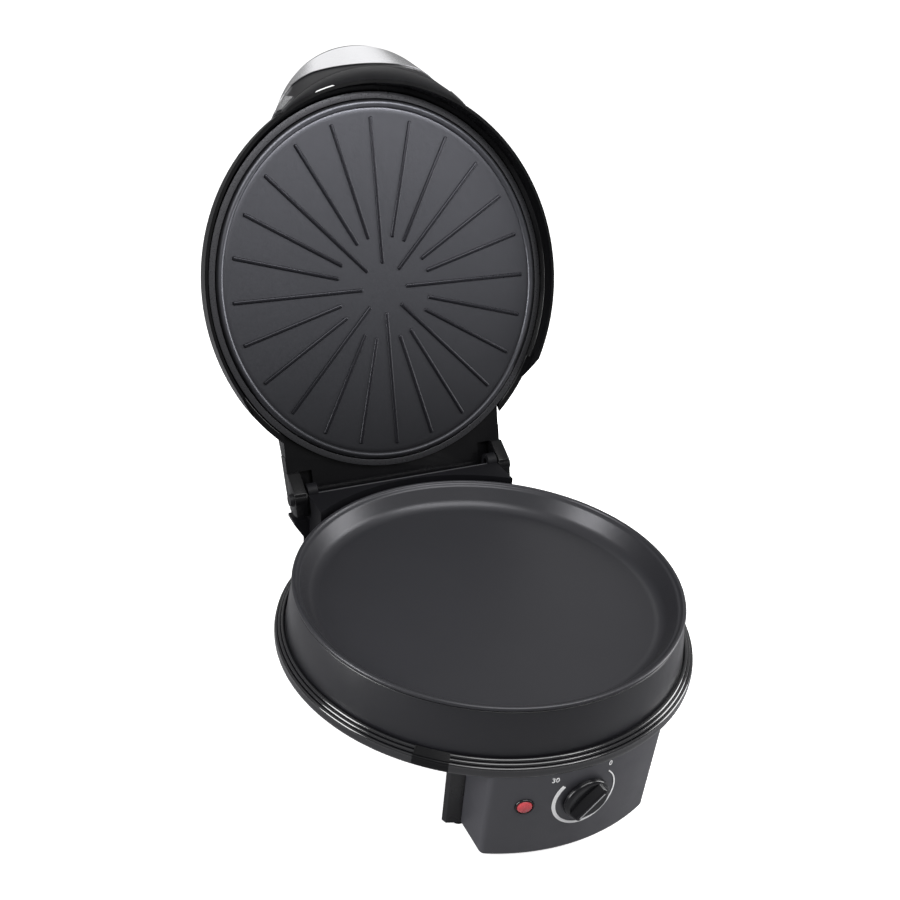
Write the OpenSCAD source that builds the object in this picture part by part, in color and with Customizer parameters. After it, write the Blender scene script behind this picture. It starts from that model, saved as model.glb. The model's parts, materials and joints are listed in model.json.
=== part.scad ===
// Countertop pizza maker with a hinged lid, drawn with the lid open against its stop.
// Origin on the table under the centre of the pan, +Z up, control panel towards -Y.

/* [Base] */
// Height of the pan rim above the table
rim_h = 134; // [126:1:150]
// Outer radius of the pan rim
pan_r = 155; // [148:1:165]
// Height of the base ring's upper edge above the table
ring_top = 94; // [86:1:98]
// Height of the base ring from its upper edge to its lower lip
ring_h = 12; // [10:1:16]
// How far the foot of the wall stands out from the pan rim
wall_out = 5.2; // [4:0.2:7]
// How far the base ring stands out from the foot of the wall
ring_out = 9.3; // [7.3:0.5:12.3]
// Wall thickness of the base mouldings
base_wall = 2.5; // [2:0.5:3.5]
// Radius of the round opening in the bottom of the base
bottom_r = 106; // [95:1:112]
// Height of the round bottom above the table
bottom_h = 46; // [40:1:52]

/* [Control panel] */
// Half the width of the control block
block_half_w = 71; // [62:1:78]
// Clear height of the control block above the table
block_clear = 2.5; // [2:0.5:5]
// Radius of the control block's upright corners
block_corner = 4; // [2:0.5:8]
// Distance from the pan's axis to the back of the control block
block_back = 120; // [116:1:124]
// Height of the timer knob's axis
knob_z = 53; // [48:1:56]
// Radius of the timer knob
knob_r = 18; // [15:0.5:19]
// How far the timer knob stands out
knob_len = 10.5; // [8:0.5:16]
// Radius of the timer shaft
shaft_r = 3; // [2.5:0.5:4]
// Outer radius of the dial arc
dial_r = 25; // [22:0.5:26]
// Widest stroke of the dial arc
dial_stroke = 3; // [2:0.5:4]
// Distance from the knob to the pilot lamp along the panel
lamp_x = 46; // [41:1:52]
// Height of the pilot lamp
lamp_z = 53.5; // [46:0.5:58]
// Radius of the pilot lamp's lens
lamp_r = 5.2; // [4:0.2:7]

/* [Legs] */
// Distance of the front legs from the pan's axis
leg_front_r = 134; // [130:1:138]
// Distance of the rear legs from the pan's axis
leg_rear_r = 155; // [148:1:158]
// Angle of the front legs from the front
leg_front_a = 31.5; // [30.5:1:37.5]
// Angle of the rear legs from the back
leg_rear_a = 27; // [22:1:34]
// Width of a leg
leg_w = 15; // [12:1:17]
// Depth of a leg
leg_d = 12; // [10:1:14]
// Height of the rubber foot under a leg
foot_h = 2.5; // [2:0.5:4]

/* [Pan] */
// Depth of the pan inside
pan_depth = 20; // [15:1:22]
// Sheet thickness of the pan
pan_t = 1.6; // [1.2:0.2:2.4]
// Radius of the pan's rolled rim
rim_roll = 1.8; // [1.5:0.1:2.2]

/* [Hinge] */
// Distance of the hinge axis behind the pan rim
hinge_back = 14; // [13:0.5:17]
// Depth of the hinge axis below the pan rim
hinge_drop = 4.4; // [4:0.2:6]
// How far the lid is open
open_angle = 108.6; // [95:0.1:110]
// Radius of the hinge axle
axle_r = 3; // [2.5:0.25:3.5]
// Rise of the floating axle in its slots
float_rise = 6; // [3:0.5:8]
// Half the width of the hinge tower
tower_half_w = 93; // [85:1:95]
// Thickness of the tower's side lugs
lug_t = 9; // [7:0.5:12]
// Radius of the lug round the axle slot
lug_r = 7; // [6:0.5:7.5]
// Thickness of the lid's hinge ears
ear_t = 11; // [9:0.5:13]
// Radius of the ear round the axle
ear_r = 10; // [8:0.5:11]

/* [Lid] */
// Outer radius of the lid's skirt
lid_r = 160; // [159:0.5:163]
// Depth of the skirt below the lid's ribs
skirt_h = 14; // [12:0.4:16]
// Rise of the lid's crown above the skirt
crown_h = 37; // [32:1:42]
// Wall thickness of the lid moulding
lid_wall = 2.5; // [2:0.25:3]
// Gap between the ribs' plane and the pan rim when closed, negative is inside the pan
rib_gap = -0.3; // [-1:0.1:0.4]
// Angle from the front at which the skirt ends
skirt_end = 118; // [110:1:122]
// Half the width of the lid's neck
neck_half_w = 105; // [102:0.5:108]

/* [Upper plate] */
// Radius of the upper plate at the crest of its bead
bead_crest_r = 144.5; // [142:0.5:145]
// Radius of the bead's rounding
bead_round = 3.2; // [2.4:0.2:3.4]
// Number of ribs on the upper plate
rib_n = 24; // [8:8:24]
// Outer end of the ribs
rib_out = 135; // [120:1:137]
// Inner end of the long ribs
rib_long_in = 20; // [14:1:30]
// Inner end of the short ribs
rib_short_in = 42; // [34:1:60]
// Width of a rib
rib_w = 2.8; // [2:0.2:3.4]
// Height of the ribs above the plate
rib_h = 1.4; // [0.8:0.2:1.8]

/* [Handle] */
// Reach of the handle's top edge from the lid's centre
handle_reach = 190.5; // [186:0.5:196]
// Reach of the handle's bottom edge from the lid's centre
handle_low_reach = 169.5; // [168:0.5:172]
// Plan radius of the handle's top edge
handle_top_r = 85; // [78:1:92]
// Plan radius of the handle's bottom edge
handle_low_r = 120; // [112:1:126]
// Height of the handle's top edge above the ribs' plane
handle_top_n = 20; // [16:1:24]
// Thickness of the handle's steel cover
cover_t = 1.4; // [1:0.2:2]
// Thickness of the handle's black grip
grip_t = 3.4; // [3:0.2:5]
// Height of the black strip that shows under the steel cover
grip_strip = 10; // [6:0.5:12]

/* [Heating] */
// Tube radius of the heating elements
element_r = 3.6; // [3:0.2:4]
// Ring radius of the lower heating element
low_ring_r = 92; // [80:1:100]
// Ring radius of the upper heating element
up_ring_r = 90; // [80:1:100]

/* [Hidden] */
$fn = 96;

// General clearances
face_gap = 0.1;
seat_gap = 0.3;
run_gap = 0.05;
cut = 1;
big = 400;

// Base levels and radii
wall_top_r = pan_r - 0.6;
foot_r = pan_r + wall_out;
ring_r = foot_r + ring_out;
ring_low = ring_top - ring_h;
wall_top = rim_h - 2 * rim_roll - 0.2;
bead_r = ring_h / 8;
break_from = 35;
break_to = 44;
bowl_mid_r = foot_r - 17.5;
bowl_mid_z = ring_low - 14;
bottom_lip = 3;

// Control block
block_r = ring_r - 0.5;
panel_t = base_wall + 0.5;
block_top = ring_low + 4;
knob_y = -block_r;
lamp_a = asin(lamp_x / block_r);
lamp_depth = 14;
knob_gap = 0.6;

// Lid levels, with the lid closed
hinge_y = pan_r + hinge_back;
hinge_z = rim_h - hinge_drop;
rib_z = rim_h + rib_gap;
edge_z = rib_z - skirt_h;
crown_base = 1;
crown_power = 4.5;
plate_t = 2;
plate_z = rib_z + rib_h;
ring_z = rim_h + 0.6;
lid_ring_out = lid_r - lid_wall - 4;
lid_more = lid_r - 160;
bead_crest = bead_crest_r + lid_more;
rib_end = rib_out + lid_more;
handle_top_y = handle_reach + lid_more;
handle_low_y = handle_low_reach + lid_more;
lid_ring_in = bead_crest + bead_round + 0.6;
lid_ring_t = 1.2;
lid_tube_t = 2;
neck_z = hinge_z + lug_r + 2.1;
neck_t = 7;
neck_end = hinge_y + 3;
neck_start = 100;
neck_bend_y = lid_r - 27;
neck_bend_z = rib_z + 17;
neck_top_z = rib_z + 27;
notch_deep = 14;
ear_in = tower_half_w + 1.5;
ear_out = ear_in + ear_t;
neck_half = neck_half_w + tower_half_w - 93;
notch_y = hinge_y - lug_r - float_rise - 9;
float_top = hinge_z + float_rise;

// Handle loop
loop_span = handle_top_n + skirt_h;
loop_back = 84;
slab_t = 0.01;

// Hinge tower
tower_low = ring_low - 24;
tower_front = foot_r + 0.5;
tower_back = hinge_y + 9;
tower_top = hinge_z + 6.2;
trough_front = hinge_y - axle_r - 1.5;
trough_z = hinge_z - axle_r - 4;
gusset_w = 14;
gusset_top = hinge_z - ear_r - 8;
gland_x = 45;
gland_z = ring_low + 6;
gland_bore = 3.6;

// Turns what is drawn with the lid closed to the open rest position
module opened() {
    translate([0, hinge_y, hinge_z])
        rotate([-open_angle, 0, 0])
            translate([0, -hinge_y, -hinge_z])
                children();
}

// Places children on the panel's front, facing outwards, at an angle from the front
module on_panel(angle, height) {
    rotate([0, 0, -angle])
        translate([0, -block_r, height])
            rotate([90, 0, 0])
                children();
}

// Repeats children at the places of the four legs
module at_legs() {
    for (side = [-1, 1]) {
        rotate([0, 0, side * leg_front_a]) translate([0, -leg_front_r, 0]) children();
        rotate([0, 0, 180 + side * leg_rear_a]) translate([0, -leg_rear_r, 0]) children();
    }
}

// Wedge of the plan between two angles from the front, open at the back
module rear_wedge(half_angle, low, high) {
    translate([0, 0, low])
        linear_extrude(high - low)
            polygon([[0, 0], [big * sin(half_angle), -big * cos(half_angle)],
                     [big, big], [-big, big], [-big * sin(half_angle), -big * cos(half_angle)]]);
}

// Outline of the base in section, from the wall's top to the bottom
module base_outer_profile() {
    polygon([[0, bottom_h], [bottom_r + bottom_lip, bottom_h], [bowl_mid_r, bowl_mid_z],
             [foot_r, ring_low - 3], [ring_r - 1.2, ring_low], [ring_r, ring_low + 1.2],
             [ring_r, ring_low + ring_h * 0.4], [ring_r - 0.8, ring_low + ring_h * 0.52],
             [foot_r + 1, ring_top], [foot_r, ring_top], [wall_top_r, wall_top], [0, wall_top]]);
}

// Hollow of the base in section
module base_inner_profile() {
    polygon([[0, bottom_h - cut], [bottom_r, bottom_h - cut], [bottom_r, bottom_h + base_wall],
             [bowl_mid_r - 1.5, bowl_mid_z + base_wall], [foot_r - base_wall - 3, ring_low],
             [foot_r - base_wall, ring_top - 4], [wall_top_r - base_wall, wall_top + cut],
             [0, wall_top + cut]]);
}

// The space that the base takes up, used to seat what stands against it
module base_space(gap) {
    rotate_extrude($fn = 192) {
        offset_profile(gap) base_outer_profile();
        for (k = [0 : 2]) bead_section(k, gap);
    }
}

// Widens a section by moving it out and down
module offset_profile(gap) {
    union() {
        children();
        translate([gap, 0]) children();
    }
}

// Plan of the control block with a curved face and round corners
module block_plan(face_r, half_w, corner, back) {
    cx = half_w - corner;
    cy = sqrt(pow(face_r - corner, 2) - cx * cx);
    turn = atan2(cy, cx);
    round_x = [for (k = [0 : 4]) cx + corner * cos(turn * k / 5)];
    round_y = [for (k = [0 : 4]) -cy - corner * sin(turn * k / 5)];
    tip_x = (face_r + 0.15) * cos(turn) - 5 * sin(turn);
    tip_y = -(face_r + 0.15) * sin(turn) - 5 * cos(turn);
    intersection() {
        circle(face_r, $fn = 192);
        polygon(concat([[-half_w, -back], [half_w, -back]],
                       [for (k = [0 : 4]) [round_x[k], round_y[k]]],
                       [[tip_x, tip_y], [0, -face_r - 20], [-tip_x, tip_y]],
                       [for (k = [4 : -1 : 0]) [-round_x[k], round_y[k]]]));
    }
}

module base_housing() {
    color([0.16, 0.16, 0.17]) difference() {
        union() {
            rotate_extrude($fn = 192) {
                base_outer_profile();
                bead_section(2, 0);
            }
            translate([0, 0, block_clear])
                linear_extrude(block_top - block_clear)
                    block_plan(block_r, block_half_w, block_corner, block_back);
            ring_beads();
        }
        rotate_extrude($fn = 192) base_inner_profile();
        translate([0, 0, block_clear - cut])
            linear_extrude(block_top - block_clear + cut - base_wall)
                block_plan(block_r - panel_t, block_half_w - base_wall, block_corner - 1,
                           block_back + base_wall);
        on_panel(0, knob_z) translate([0, 0, -20]) cylinder(r = shaft_r + 1, h = 40);
        on_panel(lamp_a, lamp_z) translate([0, 0, -20]) cylinder(r = lamp_r, h = 40);
    }
}

// Place of one of the ring's beads in section
function bead_at(k) = foot_r + 1 + (k + 0.5) / 3 * (ring_out - 1.8);
function bead_at_z(k) = ring_top - (k + 0.5) / 3 * ring_h * 0.48;

// Section of one bead, grown by a gap
module bead_section(k, gap) {
    translate([bead_at(k), bead_at_z(k)]) circle(bead_r + gap, $fn = 32);
}

// The two upper beads of the ring, broken off beside the left front leg
module ring_beads() {
    for (k = [0 : 1]) rotate([0, 0, -90 - break_from])
        rotate_extrude(angle = 360 - (break_to - break_from), $fn = 192) bead_section(k, 0);
}

module base_cover() {
    color([0.14, 0.14, 0.15]) difference() {
        translate([0, 0, bottom_h]) cylinder(r = bottom_r - face_gap, h = base_wall);
        for (a = [0 : 15 : 345]) rotate([0, 0, a])
            translate([60, -1.5, bottom_h - cut]) cube([25, 3, base_wall + 2 * cut]);
        at_cover_screws() screw_hole();
    }
}

module block_cover() {
    color([0.14, 0.14, 0.15]) difference() {
        translate([0, 0, block_clear + 1])
            linear_extrude(base_wall)
                block_plan(block_r - panel_t - face_gap, block_half_w - base_wall - face_gap,
                           block_corner - 1, block_back + base_wall + face_gap);
        at_block_screws() screw_hole();
    }
}

module legs() {
    edge = 3;
    color([0.2, 0.2, 0.21]) difference() {
        at_legs() difference() {
            translate([0, 0, foot_h]) linear_extrude(ring_low - foot_h)
                polygon([[-leg_w / 2 + edge, -leg_d / 2], [leg_w / 2 - edge, -leg_d / 2],
                         [leg_w / 2, -leg_d / 2 + edge], [leg_w / 2, leg_d / 2],
                         [-leg_w / 2, leg_d / 2], [-leg_w / 2, -leg_d / 2 + edge]]);
            translate([0, 0, foot_h - cut]) cylinder(r = 2.6, h = 6 + cut, $fn = 32);
        }
        base_space(face_gap);
        tower_block(face_gap);
        linear_extrude(block_top)
            block_plan(block_r, block_half_w + face_gap, block_corner, block_back - face_gap);
    }
}

module rubber_feet() {
    color([0.08, 0.08, 0.08]) at_legs() {
        cylinder(r = leg_d / 2 - 0.5, h = foot_h, $fn = 48);
        translate([0, 0, foot_h]) cylinder(r = 2.5, h = 5, $fn = 32);
    }
}

// Body of the tower below its trough, grown by a gap where other pieces seat against it
module tower_block(gap) {
    translate([-tower_half_w - gap, 60, tower_low - gap])
        cube([2 * (tower_half_w + gap), tower_back + gap - 60, trough_z - tower_low + gap]);
}

module hinge_tower() {
    color([0.13, 0.13, 0.14]) difference() {
        union() {
            difference() {
                tower_block(0);
                translate([-tower_half_w + lug_t, 60, tower_low + base_wall])
                    cube([2 * (tower_half_w - lug_t), tower_back - base_wall - 60,
                          trough_z - tower_low - 2 * base_wall]);
            }
            translate([-tower_half_w, 60, trough_z - cut])
                cube([2 * tower_half_w, trough_front - 60, tower_top - trough_z + cut]);
            for (side = [-1, 1]) {
                tower_lug(side);
                tower_gusset(side);
            }
        }
        cylinder(r = tower_front, h = tower_top + cut, $fn = 192);
        base_space(face_gap);
        for (side = [-1, 1]) axle_slot(side);
        at_tower_screws() screw_hole();
        translate([gland_x, tower_back - 10, gland_z]) rotate([-90, 0, 0])
            cylinder(r = gland_bore + 3.5, h = 20);
    }
}

// Rounded lug that holds one end of the axle slot
module tower_lug(side) {
    x0 = side > 0 ? tower_half_w - lug_t : -tower_half_w;
    translate([x0, hinge_y, float_top]) rotate([0, 90, 0]) cylinder(r = lug_r, h = lug_t);
    translate([x0, hinge_y - lug_r, trough_z - cut]) cube([lug_t, 2 * lug_r, float_top - trough_z + cut]);
}

// Sloped bracket beside the tower, under the lid's ear
module tower_gusset(side) {
    reach = tower_half_w + gusset_w;
    translate([0, tower_front, 0]) rotate([-90, 0, 0])
        linear_extrude(tower_back - tower_front)
            polygon([[side * (tower_half_w - cut), -gusset_top], [side * reach, -gusset_top],
                     [side * reach, -gusset_top + 3], [side * tower_half_w, -gusset_top + 26],
                     [side * (tower_half_w - cut), -gusset_top + 26]]);
}

// Upright slot for the floating axle
module axle_slot(side) {
    x0 = side > 0 ? tower_half_w - lug_t - cut : -tower_half_w - cut;
    depth = lug_t + 2 * cut;
    slot_r = axle_r + run_gap;
    translate([x0, hinge_y, hinge_z]) rotate([0, 90, 0]) cylinder(r = slot_r, h = depth);
    translate([x0, hinge_y, float_top]) rotate([0, 90, 0]) cylinder(r = slot_r, h = depth);
    translate([x0, hinge_y - slot_r, hinge_z]) cube([depth, 2 * slot_r, float_rise]);
}

module baking_pan() {
    roll_r = pan_r - rim_roll;
    floor_z = rim_h - pan_depth;
    in_r = roll_r - rim_roll - 0.4;
    bend = 6;
    color([0.23, 0.23, 0.25]) rotate_extrude($fn = 192) union() {
        translate([roll_r, rim_h - rim_roll]) circle(rim_roll, $fn = 48);
        polygon([[0, floor_z - pan_t], [in_r - 3 - bend, floor_z - pan_t],
                 [in_r - 2, floor_z + bend - pan_t], [in_r, rim_h - rim_roll - pan_t],
                 [roll_r, rim_h - rim_roll - pan_t / 2], [roll_r, rim_h - rim_roll + pan_t / 2],
                 [in_r - pan_t, rim_h - rim_roll + pan_t / 2], [in_r - 2 - pan_t, floor_z + bend],
                 [in_r - 3.5 - bend, floor_z], [0, floor_z]]);
    }
}

// Tubular heater: most of a ring, with two straight cold ends
module heater(ring_r, tail) {
    gap_a = 24;
    rotate([0, 0, -90 + gap_a / 2]) rotate_extrude(angle = 360 - gap_a)
        translate([ring_r, 0]) circle(element_r, $fn = 32);
    for (side = [-1, 1]) rotate([0, 0, side * gap_a / 2])
        translate([0, -ring_r, 0]) {
            sphere(element_r, $fn = 32);
            rotate([90, 0, 0]) cylinder(r = element_r, h = tail, $fn = 32);
        }
}

element_z = rim_h - pan_depth - pan_t - element_r - 0.4;

module lower_element() {
    color([0.45, 0.43, 0.42]) translate([0, 0, element_z]) heater(low_ring_r, 14);
}

// Shallow dish under a heater, dish_r wide and lip high
module dish(dish_r, lip, sheet) {
    rotate_extrude() polygon([[0, 0], [dish_r - lip, 0], [dish_r, lip], [dish_r - sheet, lip + sheet],
                              [dish_r - lip - sheet, sheet], [0, sheet]]);
}

reflector_z = element_z - element_r - 9;
low_dish_r = 134;
low_dish_lip = 8;

module lower_reflector() {
    color([0.7, 0.7, 0.7]) difference() {
        translate([0, 0, reflector_z]) dish(low_dish_r, low_dish_lip, 1);
        translate([0, 0, reflector_z - cut]) cylinder(r = 10, h = 4);
    }
}

// Brackets that carry a heater on its dish
module clip_set(ring_r, height) {
    for (a = [60, 180, 300]) rotate([0, 0, a]) difference() {
        translate([-5, -ring_r - 6, 0]) cube([10, 12, height]);
        translate([-5 - cut, -ring_r, height]) rotate([0, 90, 0])
            cylinder(r = element_r + 0.4, h = 10 + 2 * cut, $fn = 32);
    }
}

module element_clips() {
    color([0.6, 0.6, 0.6]) translate([0, 0, reflector_z + 1])
        clip_set(low_ring_r, element_z - reflector_z - 1);
}

module thermostat() {
    low = reflector_z + 1;
    color([0.75, 0.72, 0.65]) {
        translate([0, 0, low]) cylinder(r = 9, h = 4);
        translate([0, 0, low + 4]) cylinder(r = 7, h = element_z + element_r - low - 4 - face_gap);
        for (side = [-1, 1]) translate([side * 5 - 2, -1, low - 8]) cube([4, 2, 8]);
    }
}

timer_half_w = 22;
timer_half_h = 16;
timer_deep = 26;
timer_face = -(sqrt(pow(block_r - panel_t, 2) - pow(timer_half_w, 2)) - 0.3);

module timer_body() {
    color([0.82, 0.8, 0.76]) {
        translate([-timer_half_w, timer_face, knob_z - timer_half_h])
            cube([2 * timer_half_w, timer_deep, 2 * timer_half_h]);
        translate([0, timer_face, knob_z]) rotate([90, 0, 0]) cylinder(r = shaft_r + 0.8, h = 1);
        for (k = [-1, 1]) translate([k * 12 - 3, timer_face + timer_deep, knob_z]) cube([6, 8, 1]);
    }
}

module terminal_block() {
    color([0.85, 0.83, 0.78]) difference() {
        translate([-20, 78, bottom_h + base_wall]) cube([40, 14, 10]);
        for (k = [-1, 0, 1]) translate([k * 12, 85, bottom_h + base_wall + 3])
            cylinder(r = 2.5, h = 10, $fn = 32);
    }
}

module cord_gland() {
    color([0.1, 0.1, 0.1]) translate([gland_x, tower_back, gland_z]) rotate([-90, 0, 0])
        difference() {
            union() {
                translate([0, 0, -base_wall - 2]) cylinder(r = gland_bore + 3.4, h = base_wall + 4);
                translate([0, 0, 0.1]) cylinder(r = gland_bore + 5.5, h = 2);
                translate([0, 0, 2.1]) cylinder(r1 = gland_bore + 4, r2 = gland_bore + 2, h = 10);
            }
            translate([0, 0, -base_wall - 3]) cylinder(r = gland_bore, h = 30);
        }
}

// Printed arc round the knob: thick at its long end, thin at zero
module dial_plan() {
    shift = dial_stroke / 4;
    difference() {
        circle(dial_r);
        translate([shift, shift / 2]) circle(dial_r - dial_stroke * 0.6);
        polygon([[0, 0], [-big, big * 0.9], [big, big * 1.07]]);
    }
}

module dial_scale() {
    inlay = 0.25;
    color([0.93, 0.93, 0.93]) intersection() {
        difference() {
            cylinder(r = block_r + inlay, h = ring_low, $fn = 192);
            translate([0, 0, -cut]) cylinder(r = block_r + 0.02, h = ring_low + 2 * cut, $fn = 192);
        }
        translate([0, -block_r + 12, knob_z]) rotate([90, 0, 0]) linear_extrude(24) dial_plan();
    }
}

module lamp_bezel() {
    color([0.07, 0.07, 0.07]) on_panel(lamp_a, lamp_z) difference() {
        union() {
            translate([0, 0, 0.2]) cylinder(r = lamp_r + 1.4, h = 1.2);
            translate([0, 0, -lamp_depth]) cylinder(r = lamp_r - 0.1, h = lamp_depth + 0.3);
        }
        translate([0, 0, -lamp_depth - cut]) cylinder(r = lamp_r - 1.2, h = lamp_depth + 4);
        translate([0, 0, -1]) cylinder(r = lamp_r - 0.6, h = 6);
    }
}

module lamp_lens() {
    color([0.8, 0.2, 0.22]) on_panel(lamp_a, lamp_z) {
        translate([0, 0, -1 + run_gap]) cylinder(r = lamp_r - 0.7, h = 3);
        translate([0, 0, 2]) cylinder(r1 = lamp_r - 0.7, r2 = lamp_r - 2.2, h = 1.2);
    }
}

module lamp_bulb() {
    color([0.9, 0.6, 0.4]) on_panel(lamp_a, lamp_z) {
        translate([0, 0, -lamp_depth + 1]) cylinder(r = 2.6, h = lamp_depth - 2.6);
        for (k = [-1, 1]) translate([k, 0, -lamp_depth - 5]) cylinder(r = 0.5, h = 7, $fn = 16);
    }
}

// Pan-head screw with a cross recess, head down
module screw(head_r, len) {
    difference() {
        union() {
            translate([0, 0, -2]) cylinder(r = head_r, h = 2, $fn = 32);
            cylinder(r = screw_r, h = len, $fn = 24);
        }
        for (a = [0, 90]) rotate([0, 0, a]) translate([-head_r * 0.6, -0.5, -3]) cube([head_r * 1.2, 1, 2]);
    }
}

screw_r = 1.6;

// Clear hole for a screw's shank
module screw_hole() {
    translate([0, 0, -cut]) cylinder(r = screw_r + face_gap, h = base_wall + 2 * cut, $fn = 24);
}

// Places of the screws that hold the round bottom
module at_cover_screws() {
    for (a = [45 : 90 : 315]) rotate([0, 0, a]) translate([bottom_r - 8, 0, bottom_h]) children();
}

// Places of the screws that hold the block's bottom
module at_block_screws() {
    for (k = [-1, 1]) translate([k * (block_half_w - 12), -block_back - 18, block_clear + 1]) children();
}

// Places of the screws that hold the tower
module at_tower_screws() {
    for (k = [-1, 1]) translate([k * (tower_half_w - 25), hinge_y, tower_low]) children();
}

module base_screws() {
    color([0.6, 0.6, 0.62]) {
        at_cover_screws() screw(3.2, base_wall);
        at_block_screws() screw(3.2, base_wall);
    }
}

module tower_screws() {
    color([0.6, 0.6, 0.62]) at_tower_screws() screw(3.4, base_wall);
}

module hinge_axle() {
    half = ear_out + 1;
    color([0.72, 0.72, 0.72]) translate([-half, hinge_y, hinge_z]) rotate([0, 90, 0])
        cylinder(r = axle_r, h = 2 * half);
}

module axle_caps() {
    color([0.25, 0.25, 0.26]) for (side = [-1, 1])
        translate([side * (ear_out + 0.5), hinge_y, hinge_z]) rotate([0, side * 90, 0]) difference() {
            cylinder(r1 = axle_r + 3, r2 = axle_r + 2, h = 3);
            translate([0, 0, -cut]) cylinder(r = axle_r, h = cut + 0.5);
        }
}

// Height of the crown above the ribs' plane at a distance from the centre
function crown(r) = crown_base + crown_h * (1 - pow(r / lid_r, crown_power));
crown_steps = 22;
crown_rs = [for (k = [0 : crown_steps]) lid_r * sin(90 * k / crown_steps)];

// Height of the crown's inner face at a distance from the centre
function crown_inside(r) = rib_z + crown(r * lid_r / (lid_r - lid_wall)) - lid_wall * 0.9;

// Section of the lid from its skirt to its crown, drawn in by an inset and lengthened by a drop
module crown_profile(inset, drop) {
    scale_in = (lid_r - inset) / lid_r;
    polygon(concat([[0, edge_z - drop], [lid_r - inset, edge_z - drop]],
                   [for (k = [crown_steps : -1 : 0]) [crown_rs[k] * scale_in,
                                                      rib_z + crown(crown_rs[k]) - inset * 0.9]]));
}

// Section through the neck, seen along the hinge, from the dome back to the ears
module neck_profile() {
    top = neck_z + neck_t;
    polygon([[neck_start, neck_z], [neck_end, neck_z], [neck_end, top],
             [neck_end - 12, top + 2], [neck_bend_y, neck_bend_z], [neck_start, neck_top_z]]);
}

// Extrudes a section drawn in Y and Z along the hinge's direction
module along_x(half) {
    rotate([90, 0, 90]) translate([0, 0, -half]) linear_extrude(2 * half) children();
}

module ear(side) {
    x0 = side > 0 ? ear_in : -ear_out;
    translate([x0, 0, 0]) rotate([90, 0, 90]) linear_extrude(ear_t) union() {
        translate([hinge_y, hinge_z]) circle(ear_r);
        polygon([[hinge_y - ear_r, hinge_z], [hinge_y + ear_r, hinge_z],
                 [hinge_y + ear_r, neck_z - 2], [neck_end, neck_z + neck_t],
                 [neck_end - 12, neck_z + neck_t + 2], [neck_bend_y, neck_bend_z], [neck_bend_y, neck_z],
                 [hinge_y - ear_r - 8, neck_z]]);
    }
}

module lid_shell_closed() {
    difference() {
        union() {
            difference() {
                rotate_extrude($fn = 192) crown_profile(0, 0);
                rear_wedge(skirt_end, edge_z - cut, rib_z + crown_base);
                translate([-neck_half, neck_start, edge_z - cut])
                    cube([2 * neck_half, big, neck_z - edge_z + cut]);
            }
            along_x(neck_half) neck_profile();
            for (side = [-1, 1]) ear(side);
        }
        rotate_extrude($fn = 192) crown_profile(lid_wall, cut);
        for (side = [-1, 1]) {
            x0 = side > 0 ? tower_half_w - lug_t - 1.5 : -ear_in;
            translate([x0, notch_y, hinge_z - cut]) cube([lug_t + 3, big, notch_deep + cut]);
            translate([side * (ear_in - 2 * cut), hinge_y, hinge_z]) rotate([0, side * 90, 0])
                cylinder(r = axle_r + run_gap, h = ear_t + 4 * cut);
        }
    }
}

module lid_shell() {
    color([0.12, 0.12, 0.13]) opened() lid_shell_closed();
}

module lid_ring() {
    tube_h = crown_inside(lid_ring_in + lid_tube_t) - ring_z - 3 * face_gap;
    color([0.45, 0.45, 0.47]) opened() translate([0, 0, ring_z]) difference() {
        union() {
            cylinder(r = lid_ring_out, h = lid_ring_t, $fn = 192);
            cylinder(r = lid_ring_in + lid_tube_t, h = tube_h, $fn = 192);
        }
        translate([0, 0, -cut]) cylinder(r = lid_ring_in, h = tube_h + 2 * cut, $fn = 192);
    }
}

module upper_plate() {
    out_r = bead_crest + bead_round;
    color([0.3, 0.3, 0.33]) opened() union() {
        rotate_extrude($fn = 192) union() {
            polygon([[0, plate_z], [out_r - bead_round * 2, plate_z], [out_r, plate_z],
                     [out_r, plate_z + 6], [out_r - plate_t, plate_z + 6],
                     [out_r - plate_t, plate_z + plate_t], [0, plate_z + plate_t]]);
            translate([bead_crest, plate_z + 0.8]) circle(bead_round, $fn = 48);
        }
        for (k = [0 : rib_n - 1]) rotate([0, 0, k * 360 / rib_n])
            plate_rib(k % 3 == 0 ? rib_long_in : rib_short_in);
    }
}

// One round-backed rib on the plate, from its inner end to the common outer end
module plate_rib(inner) {
    translate([0, -inner, plate_z + rib_w / 2 - rib_h]) rotate([90, 0, 0])
        cylinder(r = rib_w / 2, h = rib_end - inner, $fn = 24);
}

upper_z = plate_z + plate_t + element_r + 0.3;
up_dish_r = 128;
up_dish_lip = 10;
plate_screw_at = 112;

module upper_element() {
    color([0.45, 0.43, 0.42]) opened() translate([0, 0, upper_z]) rotate([0, 0, 180]) heater(up_ring_r, 14);
}

module upper_reflector() {
    color([0.7, 0.7, 0.7]) opened() translate([0, 0, upper_z + element_r + 7]) mirror([0, 0, 1])
        difference() {
            dish(up_dish_r, up_dish_lip, 1);
            translate([0, 0, -cut]) cylinder(r = 12, h = 4);
        }
}

module upper_clips() {
    color([0.6, 0.6, 0.6]) opened() translate([0, 0, upper_z + element_r + 6]) mirror([0, 0, 1])
        clip_set(up_ring_r, element_r + 6);
}

module thermal_fuse() {
    color([0.75, 0.72, 0.65]) opened() translate([-12, -30, plate_z + plate_t + 0.1]) {
        cube([24, 12, 4]);
        translate([-6, 5, 1.5]) cube([36, 2, 1]);
    }
}

// Leaning loop of the handle as a solid, drawn in by an inset and lengthened at both ends
module loop_solid(inset, extra) {
    hull() {
        loop_slab(-extra, inset);
        loop_slab(loop_span + extra - slab_t, inset);
    }
}

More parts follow.
